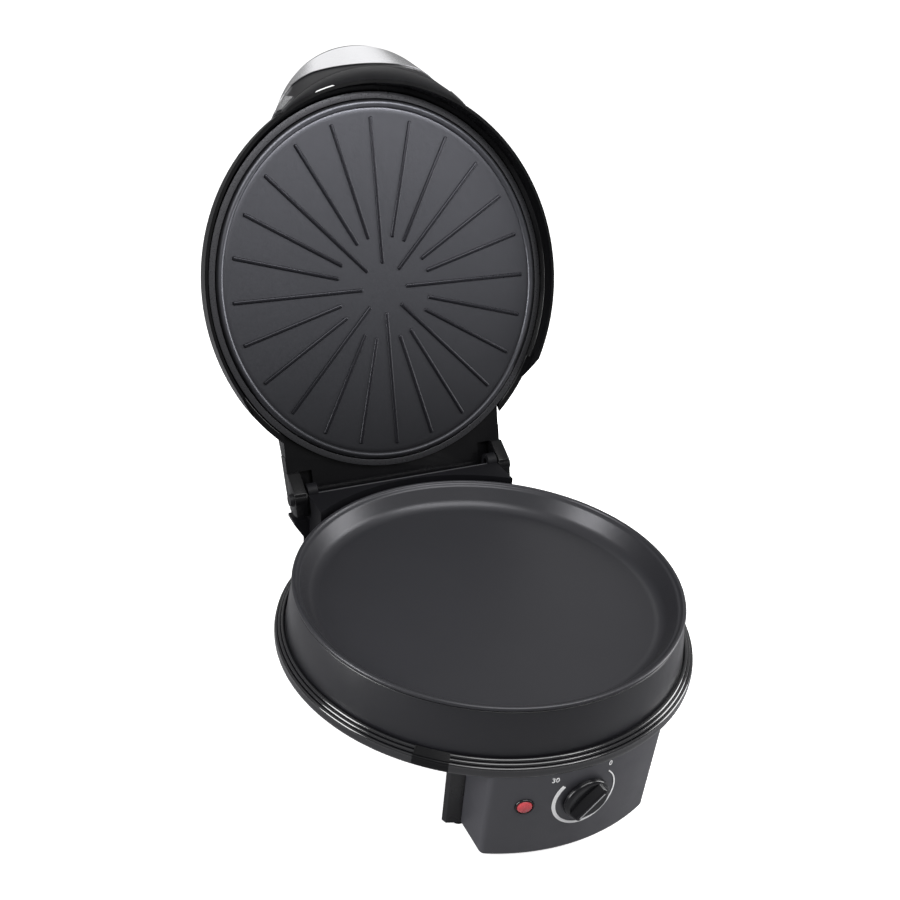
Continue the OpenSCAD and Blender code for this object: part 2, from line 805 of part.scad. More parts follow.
// Thin slab of the loop's plan at a level above the skirt's edge
module loop_slab(level, inset) {
    share = level / loop_span;
    reach = handle_low_y + share * (handle_top_y - handle_low_y);
    plan_r = handle_low_r + share * (handle_top_r - handle_low_r);
    translate([0, 0, edge_z + level]) linear_extrude(slab_t) intersection() {
        translate([0, plan_r - reach]) circle(plan_r - inset, $fn = 128);
        translate([-big / 2, -big]) square([big, big - loop_back]);
    }
}

// Lid's outside, which the handle's ends seat against
module lid_outside(gap) {
    rotate_extrude($fn = 192) crown_profile(-gap, cut);
}

// Keeps the part of the loop that stands out of the lid
module loop_trim() {
    difference() {
        children();
        lid_outside(seat_gap);
        translate([-big / 2, cut - loop_back, 0]) cube([big, big, big]);
    }
}

// Slice of space between two levels above the skirt's edge
module level_slice(low, high) {
    translate([-big / 2, -big, edge_z + low]) cube([big, big, high - low]);
}

module handle_grip() {
    color([0.1, 0.1, 0.11]) opened() loop_trim() difference() {
        union() {
            loop_solid(cover_t + 2 * face_gap, 0);
            intersection() {
                loop_solid(0, 0);
                level_slice(-cut, grip_strip);
            }
        }
        loop_solid(cover_t + grip_t, cut);
    }
}

module handle_cover() {
    color([0.8, 0.8, 0.8]) opened() loop_trim() difference() {
        intersection() {
            loop_solid(0, 0);
            level_slice(grip_strip + face_gap, big);
        }
        loop_solid(cover_t, cut);
    }
}

module plate_screws() {
    color([0.6, 0.6, 0.62]) opened() for (a = [0 : 120 : 240]) rotate([0, 0, a])
        translate([0, plate_screw_at, plate_z + plate_t]) cylinder(r = 2.5, h = 6, $fn = 32);
}

knob_skirt = 3;
grip_half_w = 6.5;
grip_top_w = 1.6;

// Knob in its own frame: disc on XY, standing out along Z, pointer towards +Y
module knob_body() {
    difference() {
        union() {
            cylinder(r = knob_r, h = knob_skirt);
            translate([0, 0, knob_skirt]) cylinder(r1 = knob_r, r2 = knob_r - 1.2, h = 1.2);
            intersection() {
                translate([0, 0, knob_skirt])
                    cylinder(r1 = knob_r - 0.6, r2 = knob_r - 2.6, h = knob_len - knob_skirt);
                rotate([90, 0, 0]) translate([0, 0, -knob_r]) linear_extrude(2 * knob_r)
                    polygon([[-grip_half_w, 0], [grip_half_w, 0], [grip_half_w, knob_skirt + 2.4],
                             [grip_top_w, knob_len], [-grip_top_w, knob_len],
                             [-grip_half_w, knob_skirt + 2.4]]);
            }
        }
        translate([0, 0, -cut]) cylinder(r = shaft_r + run_gap, h = knob_len - 4 + cut);
    }
}

zero_angle = 43;

// Places children on the knob, turned to its zero mark
module on_knob() {
    translate([0, knob_y - knob_gap, knob_z]) rotate([90, 0, 0]) rotate([0, 0, -zero_angle]) children();
}

module timer_knob() {
    color([0.06, 0.06, 0.06]) on_knob() knob_body();
}

module timer_shaft() {
    shaft_back = -timer_face - block_r;
    color([0.7, 0.7, 0.7]) on_knob() translate([0, 0, shaft_back - knob_gap + 1.2])
        cylinder(r = shaft_r, h = knob_len - 4 - shaft_back + knob_gap - 1.4);
}

module knob_pointer() {
    color([0.93, 0.93, 0.93]) on_knob()
        translate([-0.6, 3.2 - knob_r, knob_len]) cube([1.2, 2 * knob_r - 6.4, 0.25]);
}

base_housing();
base_cover();
block_cover();
legs();
rubber_feet();
hinge_tower();
baking_pan();
lower_element();
lower_reflector();
element_clips();
thermostat();
timer_body();
terminal_block();
cord_gland();
dial_scale();
lamp_bezel();
lamp_lens();
lamp_bulb();
base_screws();
tower_screws();
hinge_axle();
axle_caps();
lid_shell();
lid_ring();
upper_plate();
upper_element();
upper_reflector();
upper_clips();
thermal_fuse();
handle_grip();
handle_cover();
plate_screws();
timer_knob();
timer_shaft();
knob_pointer();
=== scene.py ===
import json
import math

import bmesh
import bpy
from mathutils import Matrix, Vector


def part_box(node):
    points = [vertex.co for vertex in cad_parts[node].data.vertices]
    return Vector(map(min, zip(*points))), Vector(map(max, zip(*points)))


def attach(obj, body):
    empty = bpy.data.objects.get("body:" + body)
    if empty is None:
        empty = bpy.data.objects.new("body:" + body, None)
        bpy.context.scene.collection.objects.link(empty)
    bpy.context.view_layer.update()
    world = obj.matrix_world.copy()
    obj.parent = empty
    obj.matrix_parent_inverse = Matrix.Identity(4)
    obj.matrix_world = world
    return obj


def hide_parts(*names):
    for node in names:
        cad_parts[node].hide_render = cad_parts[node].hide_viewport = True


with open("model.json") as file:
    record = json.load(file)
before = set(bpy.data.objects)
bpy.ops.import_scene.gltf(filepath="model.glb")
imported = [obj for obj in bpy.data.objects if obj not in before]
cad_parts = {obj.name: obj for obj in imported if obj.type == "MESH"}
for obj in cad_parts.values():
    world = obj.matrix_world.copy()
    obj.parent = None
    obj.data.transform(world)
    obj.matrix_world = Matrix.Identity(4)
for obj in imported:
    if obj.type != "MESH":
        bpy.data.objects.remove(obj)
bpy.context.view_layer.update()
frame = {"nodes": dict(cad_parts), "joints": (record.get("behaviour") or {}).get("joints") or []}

MM = 0.001
nodes = frame["nodes"]
joints = {j["name"]: j for j in frame["joints"]}
hinge = Vector(joints["lid_hinge"]["pos_m"]) / MM
lid_opening = math.radians(joints["lid_hinge"]["range_deg"][1])

# Sizes in millimetres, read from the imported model
pan_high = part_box("baking_pan")[1] / MM
base_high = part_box("base_housing")[1] / MM
knob_axis = Vector(joints["timer_turn"]["pos_m"]) / MM
PAN_R = pan_high.x
RIM_Z = pan_high.z
RING_R = base_high.x
BLOCK_R = -knob_axis.y
RIB_Z = RIM_Z - 0.3
FULL_TURN = 2 * math.pi


# Camera, fitted to the photograph's outlines

PHOTO_SIDE = 900
CAMERA_AZIMUTH = math.radians(-25.14)
CAMERA_ELEVATION = math.radians(36.55)
CAMERA_ROLL = math.radians(3.25)
CAMERA_DISTANCE = 812.45 * MM
CAMERA_ASIDE = -72.20 * MM
CAMERA_ABOVE = -25.28 * MM
FOCAL_PIXELS = 1026.19
CENTRE_X_PIXEL = 396.77
CENTRE_Y_PIXEL = 608.71


def make_camera():
    """Places the camera at the photograph's angle, looking at the pan's rim."""
    a, e = CAMERA_AZIMUTH, CAMERA_ELEVATION
    back = Vector((math.sin(a) * math.cos(e), -math.cos(a) * math.cos(e), math.sin(e)))
    right = Vector((math.cos(a), math.sin(a), 0))
    up = Vector((-math.sin(e) * math.sin(a), math.sin(e) * math.cos(a), math.cos(e)))
    level_right = right * math.cos(CAMERA_ROLL) + up * math.sin(CAMERA_ROLL)
    level_up = up * math.cos(CAMERA_ROLL) - right * math.sin(CAMERA_ROLL)
    place = Vector((0, 0, RIM_Z * MM)) + level_right * CAMERA_ASIDE + level_up * CAMERA_ABOVE
    place += back * CAMERA_DISTANCE
    lens = bpy.data.cameras.new("camera")
    lens.sensor_width = 36
    lens.sensor_fit = "HORIZONTAL"
    lens.lens = FOCAL_PIXELS / PHOTO_SIDE * lens.sensor_width
    lens.shift_x = (PHOTO_SIDE / 2 - CENTRE_X_PIXEL) / PHOTO_SIDE
    lens.shift_y = (CENTRE_Y_PIXEL - PHOTO_SIDE / 2) / PHOTO_SIDE
    lens.clip_start = 0.01
    lens.clip_end = 50
    camera = bpy.data.objects.new("camera", lens)
    bpy.context.scene.collection.objects.link(camera)
    turn = Matrix((level_right, level_up, back)).transposed().to_4x4()
    camera.matrix_world = Matrix.Translation(place) @ turn
    bpy.context.scene.camera = camera


# Materials

def new_material(name):
    """A material with an empty tree, its shader and its object coordinates."""
    material = bpy.data.materials.new(name)
    material.use_nodes = True
    tree = material.node_tree
    shader = tree.nodes["Principled BSDF"]
    coordinates = tree.nodes.new("ShaderNodeTexCoord")
    return material, tree, shader, coordinates.outputs["Object"]


def noise(tree, vector, scale, detail=3, stretch=None):
    """A noise pattern on the object's own coordinates, stretched along an axis if asked."""
    if stretch:
        mapping = tree.nodes.new("ShaderNodeMapping")
        mapping.inputs["Scale"].default_value = stretch
        tree.links.new(vector, mapping.inputs["Vector"])
        vector = mapping.outputs["Vector"]
    pattern = tree.nodes.new("ShaderNodeTexNoise")
    pattern.inputs["Scale"].default_value = scale
    pattern.inputs["Detail"].default_value = detail
    tree.links.new(vector, pattern.inputs["Vector"])
    return pattern.outputs["Fac"]


def spread(tree, value, low, high):
    """Maps a pattern's middle stretch to a range."""
    ramp = tree.nodes.new("ShaderNodeMapRange")
    ramp.inputs["From Min"].default_value = 0.3
    ramp.inputs["From Max"].default_value = 0.7
    ramp.inputs["To Min"].default_value = low
    ramp.inputs["To Max"].default_value = high
    tree.links.new(value, ramp.inputs["Value"])
    return ramp.outputs["Result"]


def tint(tree, value, dark, light):
    """Mixes two colours by a pattern."""
    mix = tree.nodes.new("ShaderNodeMix")
    mix.data_type = "RGBA"
    mix.inputs["A"].default_value = (*dark, 1)
    mix.inputs["B"].default_value = (*light, 1)
    tree.links.new(value, mix.inputs["Factor"])
    return mix.outputs["Result"]


def bump(tree, shader, height, depth, strength=1.0):
    """Gives the surface a fine relief."""
    relief = tree.nodes.new("ShaderNodeBump")
    relief.inputs["Strength"].default_value = strength
    relief.inputs["Distance"].default_value = depth
    tree.links.new(height, relief.inputs["Height"])
    tree.links.new(relief.outputs["Normal"], shader.inputs["Normal"])


def moulded_plastic(name, colour, rough, grain_depth, gloss=0.3, blotch=0.15):
    """Moulded plastic: a fine eroded grain, and a colour and sheen that vary a little."""
    material, tree, shader, place = new_material(name)
    cloud = noise(tree, place, 14)
    lighter = tuple(c * (1 + blotch) for c in colour)
    darker = tuple(c * (1 - blotch) for c in colour)
    tree.links.new(tint(tree, cloud, darker, lighter), shader.inputs["Base Color"])
    worn = noise(tree, place, 40)
    tree.links.new(spread(tree, worn, rough - 0.04, rough + 0.05), shader.inputs["Roughness"])
    shader.inputs["Specular IOR Level"].default_value = gloss
    bump(tree, shader, noise(tree, place, 2600, 2), grain_depth)
    return material


def coated_metal(name, colour, rough, sheen=0.35, grade=None):
    """Non-stick coating over metal: soft sheen with fine flecks, and where grade is given, painted light
    that makes the colour lighter upwards.
    """
    material, tree, shader, place = new_material(name)
    cloud = noise(tree, place, 9)
    lighter = tuple(c * 1.1 for c in colour)
    darker = tuple(c * 0.9 for c in colour)
    coat = tint(tree, cloud, darker, lighter)
    # Painted light: the colour is scaled with height, so the open lid's top looks lit and the part near the
    # hinge looks shaded.
    if grade:
        parts = tree.nodes.new("ShaderNodeSeparateXYZ")
        tree.links.new(place, parts.inputs["Vector"])
        ramp = tree.nodes.new("ShaderNodeMapRange")
        for key, value in zip(("From Min", "From Max", "To Min", "To Max"), grade):
            ramp.inputs[key].default_value = value
        tree.links.new(parts.outputs["Z"], ramp.inputs["Value"])
        graded = tree.nodes.new("ShaderNodeVectorMath")
        graded.operation = "SCALE"
        tree.links.new(coat, graded.inputs["Vector"])
        tree.links.new(ramp.outputs["Result"], graded.inputs["Scale"])
        coat = graded.outputs["Vector"]
    tree.links.new(coat, shader.inputs["Base Color"])
    flecks = noise(tree, place, 900, 4)
    tree.links.new(spread(tree, flecks, rough - 0.05, rough + 0.06), shader.inputs["Roughness"])
    shader.inputs["Metallic"].default_value = sheen
    shader.inputs["Specular IOR Level"].default_value = 0.4
    bump(tree, shader, noise(tree, place, 1800, 3), 0.00001)
    return material


def bare_metal(name, colour, rough, brush=None, depth=0.00003):
    """Bare metal, brushed along one direction where brush gives the stretch."""
    material, tree, shader, place = new_material(name)
    lines = noise(tree, place, 300, 6, brush or (1, 1, 1))
    lighter = tuple(min(1, c * 1.05) for c in colour)
    darker = tuple(c * 0.88 for c in colour)
    tree.links.new(tint(tree, lines, darker, lighter), shader.inputs["Base Color"])
    tree.links.new(spread(tree, lines, rough - 0.05, rough + 0.07), shader.inputs["Roughness"])
    shader.inputs["Metallic"].default_value = 1.0
    bump(tree, shader, lines, depth)
    return material


def lamp_plastic():
    """Red translucent plastic of the pilot lamp, unlit."""
    material, tree, shader, place = new_material("lamp_red")
    cloud = noise(tree, place, 300)
    tree.links.new(tint(tree, cloud, (0.42, 0.045, 0.055), (0.52, 0.07, 0.08)), shader.inputs["Base Color"])
    tree.links.new(spread(tree, cloud, 0.22, 0.32), shader.inputs["Roughness"])
    shader.inputs["Subsurface Weight"].default_value = 0.2
    shader.inputs["Subsurface Scale"].default_value = 0.002
    return material


# Lowest and highest place of the open lid's plate, in metres, between which painted light makes its finish
# lighter towards the top
PAINTED_LIGHT_HEIGHTS = (0.14, 0.43)


def make_materials():
    """Every finish of the appliance, by name."""
    found = {}
    found["housing"] = moulded_plastic("satin_housing", (0.0072, 0.0072, 0.0092), 0.33, 0.00001, gloss=0.5)
    found["panel"] = moulded_plastic("satin_panel", (0.041, 0.041, 0.047), 0.38, 0.00001, gloss=0.45)
    found["ring"] = moulded_plastic("gloss_ring", (0.005, 0.005, 0.006), 0.12, 0.000001, gloss=0.6)
    coat = found["ring"].node_tree.nodes["Principled BSDF"].inputs
    coat["Coat Weight"].default_value = 0.4
    coat["Coat Roughness"].default_value = 0.06
    found["lid"] = moulded_plastic("gloss_lid", (0.003, 0.003, 0.0034), 0.24, 0.000003, gloss=0.18)
    found["tower"] = moulded_plastic("satin_tower", (0.004, 0.004, 0.005), 0.5, 0.00001, gloss=0.12)
    # Painted highlight: a lighter grey for the thin strip along the tower's top, standing in for the
    # highlight on its edge.
    found["edge"] = moulded_plastic("painted_highlight_edge", (0.03, 0.03, 0.033), 0.4, 0.000002, gloss=0.3)
    found["leg"] = moulded_plastic("satin_leg", (0.009, 0.009, 0.010), 0.3, 0.00001, gloss=0.5)
    found["rubber"] = moulded_plastic("foot_rubber", (0.012, 0.012, 0.012), 0.8, 0.00005, gloss=0.2)
    # Painted light on the plate: its colour grows from 0.30 to 1.75 times its base towards the open lid's
    # top.
    found["coating"] = coated_metal("plate_coating_painted_light", (0.072, 0.073, 0.082), 0.37, 0.85,
                                    (*PAINTED_LIGHT_HEIGHTS, 0.30, 1.75))
    # Painted shade and painted light on the ribs: far darker than the plate to stand in for the shade along
    # them, and lighter towards the open lid's top.
    found["rib"] = coated_metal("rib_coating_painted_shade_and_light", (0.020, 0.020, 0.025), 0.30, 0.6,
                                (*PAINTED_LIGHT_HEIGHTS, 0.6, 1.2))
    found["pan"] = coated_metal("pan_coating", (0.030, 0.030, 0.034), 0.34, 0.4)
    # Painted light on the grey ring: its colour grows lighter towards the open lid's top.
    found["trim"] = coated_metal("grey_trim_ring_painted_light", (0.075, 0.075, 0.081), 0.3, 0.8,
                                 (*PAINTED_LIGHT_HEIGHTS, 0.6, 1.5))
    found["cover"] = bare_metal("brushed_handle_steel", (0.86, 0.86, 0.88), 0.25, (60, 1, 1), 0.000006)
    found["grip"] = moulded_plastic("handle_grip_black", (0.004, 0.004, 0.005), 0.38, 0.000004, gloss=0.25)
    found["knob"] = moulded_plastic("gloss_knob", (0.004, 0.004, 0.005), 0.2, 0.000003, gloss=0.35)
    found["print"] = moulded_plastic("white_print", (0.80, 0.80, 0.80), 0.5, 0.00001, blotch=0.04)
    found["pointer"] = moulded_plastic("grey_pointer", (0.30, 0.30, 0.31), 0.4, 0.00001, blotch=0.04)
    found["steel"] = bare_metal("plated_steel", (0.55, 0.55, 0.56), 0.3, (40, 1, 1))
    found["sheet"] = bare_metal("bright_sheet", (0.75, 0.75, 0.76), 0.25)
    found["heater"] = bare_metal("heater_sheath", (0.22, 0.20, 0.19), 0.5)
    found["ceramic"] = moulded_plastic("ceramic", (0.62, 0.58, 0.50), 0.6, 0.00003, blotch=0.08)
    found["bottom"] = moulded_plastic("painted_bottom", (0.02, 0.02, 0.021), 0.5, 0.00003)
    found["lamp"] = lamp_plastic()
    found["bulb"] = moulded_plastic("neon_bulb", (0.8, 0.45, 0.3), 0.2, 0.000004)
    return found


CAD_FINISHES = {
    "base_housing": "housing", "base_cover": "bottom", "block_cover": "bottom", "legs": "leg",
    "rubber_feet": "rubber", "hinge_tower": "tower", "baking_pan": "pan", "lower_element": "heater",
    "lower_reflector": "sheet", "element_clips": "steel", "thermostat": "ceramic",
    "timer_body": "ceramic", "terminal_block": "ceramic", "cord_gland": "rubber",
    "dial_scale": "print", "lamp_bezel": "knob", "lamp_lens": "lamp", "lamp_bulb": "bulb",
    "base_screws": "steel", "tower_screws": "steel", "hinge_axle": "steel", "axle_caps": "grip",
    "lid_shell": "lid", "lid_ring": "trim", "upper_plate": "coating", "upper_element": "heater",
    "upper_reflector": "sheet", "upper_clips": "steel", "thermal_fuse": "ceramic",
    "handle_grip": "grip", "handle_cover": "cover", "plate_screws": "steel",
    "timer_knob": "knob", "timer_shaft": "steel", "knob_pointer": "print",
}


def dress_cad_nodes():
    """Gives each part of the frame its finish."""
    for name, finish in CAD_FINISHES.items():
        node = nodes[name]
        node.data.materials.clear()
        node.data.materials.append(finishes[finish])


# Building blocks: all shapes are drawn in millimetres and scaled when they become a piece

def make_piece(mesh, name, finish, body, replaced, sharp=35):
    """Turns a finished mesh into a named piece that moves with its body."""
    bmesh.ops.remove_doubles(mesh, verts=mesh.verts, dist=0.002)
    bmesh.ops.recalc_face_normals(mesh, faces=mesh.faces)
    bmesh.ops.scale(mesh, vec=(MM, MM, MM), verts=mesh.verts)
    data = bpy.data.meshes.new(name)
    mesh.to_mesh(data)
    mesh.free()
    data.shade_smooth()
    data.set_sharp_from_angle(angle=math.radians(sharp))
    data.materials.append(finishes[finish])
    piece = bpy.data.objects.new(name, data)
    bpy.context.scene.collection.objects.link(piece)
    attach(piece, body)
    if replaced:
        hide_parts(*replaced)
    return piece


def add_line(mesh, points, closed=True):
    """Draws a section in X and Z and rounds each corner that names a radius."""
    corners = [mesh.verts.new((p[0], 0, p[1])) for p in points]
    pairs = list(zip(corners, corners[1:]))
    if closed:
        pairs.append((corners[-1], corners[0]))
    for a, b in pairs:
        mesh.edges.new((a, b))
    for corner, point in zip(corners, points):
        if len(point) > 2:
            bmesh.ops.bevel(mesh, geom=[corner], offset=point[2], offset_type="OFFSET", segments=5,
                            profile=0.5, affect="VERTICES", clamp_overlap=False, material=-1)


def turned(points, steps=192, closed=True):
    """A solid of revolution round the vertical axis from a section in X and Z."""
    mesh = bmesh.new()
    add_line(mesh, points, closed)
    bmesh.ops.spin(mesh, geom=mesh.verts[:] + mesh.edges[:], cent=(0, 0, 0), axis=(0, 0, 1),
                   angle=FULL_TURN, steps=steps, use_merge=True)
    bmesh.ops.remove_doubles(mesh, verts=mesh.verts, dist=0.002)
    return mesh


def sector(points, start, end, step=2.0):
    """Part of a solid of revolution, between two angles from the front, with closed ends."""
    mesh = bmesh.new()
    add_line(mesh, points)
    bmesh.ops.contextual_create(mesh, geom=mesh.edges[:])
    bmesh.ops.rotate(mesh, verts=mesh.verts, cent=(0, 0, 0),
                     matrix=Matrix.Rotation(math.radians(start - 90), 3, "Z"))
    bmesh.ops.spin(mesh, geom=mesh.verts[:] + mesh.edges[:] + mesh.faces[:], cent=(0, 0, 0),
                   axis=(0, 0, 1), angle=math.radians(end - start), steps=round((end - start) / step),
                   use_merge=False)
    return mesh


def soften(mesh, width, segments=3, angle=30, chosen=None):
    """Rounds the sharp edges of a mesh, or those among them that are chosen."""
    bmesh.ops.recalc_face_normals(mesh, faces=mesh.faces)
    mesh.normal_update()
    sharp = [e for e in mesh.edges if len(e.link_faces) == 2
             and e.calc_face_angle(0) > math.radians(angle) and (chosen is None or chosen(e))]
    bmesh.ops.bevel(mesh, geom=sharp, offset=width, offset_type="OFFSET", segments=segments,
                    profile=0.5, affect="EDGES", clamp_overlap=True, material=-1)
    return mesh


def prism(outline, low, high, edge=0.6, along="Z"):
    """An extruded outline with softened edges, along the vertical or along X."""
    mesh = bmesh.new()
    points = [mesh.verts.new((x, y, low)) for x, y in outline]
    bmesh.ops.contextual_create(mesh, geom=points)
    grown = bmesh.ops.extrude_face_region(mesh, geom=mesh.faces[:])["geom"]
    lifted = [g for g in grown if isinstance(g, bmesh.types.BMVert)]
    bmesh.ops.translate(mesh, verts=lifted, vec=(0, 0, high - low))
    if edge:
        soften(mesh, edge)
    if along == "X":
        bmesh.ops.transform(mesh, matrix=Matrix(((0, 0, 1, 0), (1, 0, 0, 0), (0, 1, 0, 0), (0, 0, 0, 1))),
                            verts=mesh.verts)
    return mesh


def joined(parts):
    """One mesh from several."""
    whole = bmesh.new()
    for part in parts:
        data = bpy.data.meshes.new("part")
        part.to_mesh(data)
        part.free()
        whole.from_mesh(data)
        bpy.data.meshes.remove(data)
    return whole


def copy_of(name):
    """A merged copy of a part's mesh in millimetres, with its flat faces joined."""
    mesh = bmesh.new()
    mesh.from_mesh(nodes[name].data)
    mesh.transform(nodes[name].matrix_world)
    bmesh.ops.scale(mesh, vec=(1 / MM, 1 / MM, 1 / MM), verts=mesh.verts)
    bmesh.ops.remove_doubles(mesh, verts=mesh.verts, dist=0.01)
    bmesh.ops.dissolve_limit(mesh, angle_limit=math.radians(0.5), verts=mesh.verts, edges=mesh.edges)
    return mesh


def open_up(mesh):
    """Turns what is drawn with the lid closed to the open rest position."""
    bmesh.ops.rotate(mesh, verts=mesh.verts, cent=hinge, matrix=Matrix.Rotation(-lid_opening, 3, "X"))
    return mesh


def on_panel(angle, height):
    """Placement on the panel's front, facing outwards, at an angle from the front."""
    return (Matrix.Rotation(-angle, 4, "Z") @ Matrix.Translation((0, -BLOCK_R, height))
            @ Matrix.Rotation(math.radians(90), 4, "X"))


# Base

WALL_TOP = RIM_Z - 3.8
WALL_TOP_R = PAN_R - 0.6
FOOT_R = PAN_R + 5.2
RING_TOP = 94
RING_LOW = 82
BEAD_R = 1.5
BEAD_SPAN = Vector((7.5, -5.76))
BREAK_FROM = 35
BREAK_TO = 44
BLOCK_HALF = 71
BLOCK_BACK = 120
BLOCK_CORNER = 5
BLOCK_LOW = 2.5
BLOCK_WALL = 1.4
BLOCK_HOLLOW = 79
LEG_STRETCH = 0.8
LEG_FOOT_ZONE = 12
LEG_TOP_ZONE = 90
SOFT_EDGE = 1.6
PAN_DEPTH = 20
PAN_WALL = 1.6
PAN_ROLL = 1.8


def bead_line(beads):
    """Section of the ring's sloping top with some of its three beads."""
    start = Vector((FOOT_R + 1, RING_TOP))
    along = BEAD_SPAN.normalized()
    outward = Vector((-along.y, along.x))
    length = BEAD_SPAN.length
    middles = [(k + 0.5) / 3 * length for k in beads]
    samples = 60
    line = []
    for i in range(samples + 1):
        s = i / samples * length
        rise = max([math.sqrt(BEAD_R ** 2 - (s - m) ** 2) for m in middles if abs(s - m) < BEAD_R] or [0])
        point = start + along * s + outward * rise
        line.append((point.x, point.y))
    return line


def ring_section(beads):
    """Closed section of the glossy ring."""
    return ([(FOOT_R - 0.6, 79.2), (FOOT_R - 0.6, RING_TOP - 1.4), (FOOT_R + 0.5, RING_TOP - 1.4)]
            + bead_line(beads)
            + [(RING_R, 86.8), (RING_R, 83.2, 1.0), (RING_R - 1.2, RING_LOW, 0.8), (FOOT_R, 79.2)])


def make_base():
    """Wall and bowl, the ring and the place where two of its beads break off, and the control block."""
    wall = turned([(WALL_TOP_R - 2.5, WALL_TOP, 0.8), (WALL_TOP_R, WALL_TOP, 0.9), (FOOT_R, RING_TOP + 1),
                   (FOOT_R, 80, 0.5), (142.7, 68, 4), (109, 46, 1.5), (106, 46, 0.5), (106, 48.5, 0.5),
                   (141.2, 70.5, 3), (154.7, 82, 1), (157.7, 90, 1)])
    make_piece(wall, "base_wall", "housing", "base", ["base_housing"])
    beaded = sector(ring_section((0, 1, 2)), -BREAK_FROM, 360 - BREAK_TO, 1.5)
    make_piece(beaded, "base_ring", "ring", "base", ["base_housing"], sharp=50)
    broken = sector(ring_section((2,)), -BREAK_TO, -BREAK_FROM, 1.5)
    make_piece(broken, "base_ring_break", "lid", "base", ["base_housing"], sharp=50)
    make_block()


def make_block():
    """Control block: a curved front, soft upright corners and a hollow underneath."""
    half, back, corner = BLOCK_HALF, BLOCK_BACK, BLOCK_CORNER
    reach = math.asin((half - corner) / (BLOCK_R - corner))
    steps = 40
    front = []
    for i in range(steps + 1):
        a = -reach + 2 * reach * i / steps
        front.append((BLOCK_R * math.sin(a), -BLOCK_R * math.cos(a)))
    turn = 5
    centre = ((BLOCK_R - corner) * math.sin(reach), -(BLOCK_R - corner) * math.cos(reach))
    right = []
    for i in range(1, turn + 1):
        a = reach + (math.pi / 2 - reach) * i / turn
        right.append((centre[0] + corner * math.sin(a), centre[1] - corner * math.cos(a)))
    left = [(-x, y) for x, y in reversed(right)]
    outline = left + front + right + [(half, -back), (-half, -back)]
    mesh = prism(outline, BLOCK_LOW, RING_LOW + 4, 0)
    soften(mesh, SOFT_EDGE, 4, 40, lambda e: all(v.co.z < BLOCK_LOW + 0.5 for v in e.verts))
    mesh.normal_update()
    bottom = [f for f in mesh.faces
              if f.normal.z < -0.99 and f.calc_center_median().z < BLOCK_LOW + 0.5]
    bmesh.ops.inset_region(mesh, faces=bottom, thickness=BLOCK_WALL, use_even_offset=True)
    hollow = bmesh.ops.extrude_face_region(mesh, geom=bottom)["geom"]
    bmesh.ops.delete(mesh, geom=bottom, context="FACES")
    lifted = [g for g in hollow if isinstance(g, bmesh.types.BMVert)]
    bmesh.ops.translate(mesh, verts=lifted, vec=(0, 0, BLOCK_HOLLOW))
    make_piece(mesh, "control_block", "panel", "base", ["base_housing"], sharp=40)


def make_legs():
    """Legs with rounded uprights and lower edges, the front pair wider where it shows."""
    mesh = copy_of("legs")
    for vert in mesh.verts:
        beyond = abs(vert.co.x) - BLOCK_HALF
        if vert.co.y < 0 and beyond > 0:
            vert.co.x += math.copysign(beyond * LEG_STRETCH, vert.co.x)

    def near_the_foot(edge):
        """Long edges of a leg that start near its foot."""
        heights = [v.co.z for v in edge.verts]
        return max(heights) < LEG_TOP_ZONE and min(heights) < LEG_FOOT_ZONE and edge.calc_length() > 2.5

    soften(mesh, SOFT_EDGE, 4, 30, near_the_foot)
    make_piece(mesh, "leg_set", "leg", "base", ["legs"])


def make_pan():
    """Baking pan with a rolled rim, soft bends and a flat floor."""
    floor_z = RIM_Z - PAN_DEPTH
    under_z = floor_z - PAN_WALL
    roll = PAN_ROLL
    middle = (PAN_R - roll, RIM_Z - roll)
    rim = [(middle[0] + roll * math.cos(math.radians(a)), middle[1] + roll * math.sin(math.radians(a)))
           for a in range(-100, 171, 10)]
    in_r = PAN_R - 2 * roll - 0.6
    section = ([(0, floor_z), (in_r - 11, floor_z, 7), (in_r - 2.2, RIM_Z - roll - 1, 1.2)]
               + rim[::-1]
               + [(in_r + 0.2, RIM_Z - roll - 2.4, 1), (in_r - 9, under_z, 7), (0, under_z)])
    make_piece(turned(section, closed=False), "baking_pan_rolled", "pan", "base", ["baking_pan"], sharp=60)


# Control panel

LAMP_ASIDE = 46
LAMP_Z = 53.5
FIGURE_SIZE = 6.0
ZERO_PLACE = (17.5, 26.5)
THIRTY_PLACE = (-26.5, 23.5)
ARC_R = 26.2
ARC_THICK = 3.2
ARC_TAPER = 2.3
ARC_START = -50
ARC_SWEEP = 268


def panel_text(words, name, place):
    """Printed figures that follow the panel's curve, at a place from the knob's axis."""
    aside, above = place
    curve = bpy.data.curves.new(name, "FONT")
    curve.body = words
    curve.size = FIGURE_SIZE
    curve.extrude = 0.12
    curve.align_x = "CENTER"
    curve.align_y = "CENTER"
    curve.offset = 0.05
    holder = bpy.data.objects.new(name, curve)
    bpy.context.scene.collection.objects.link(holder)
    bpy.context.view_layer.update()
    data = bpy.data.meshes.new_from_object(holder)
    bpy.data.objects.remove(holder)
    mesh = bmesh.new()
    mesh.from_mesh(data)
    bpy.data.meshes.remove(data)
    bmesh.ops.remove_doubles(mesh, verts=mesh.verts, dist=0.001)
    bmesh.ops.triangulate(mesh, faces=mesh.faces)
    for vert in mesh.verts:
        angle = (vert.co.x + aside) / BLOCK_R
        out = BLOCK_R + 0.1 + vert.co.z
        vert.co = Vector((out * math.sin(angle), -out * math.cos(angle), knob_axis.z + above + vert.co.y))
    return mesh


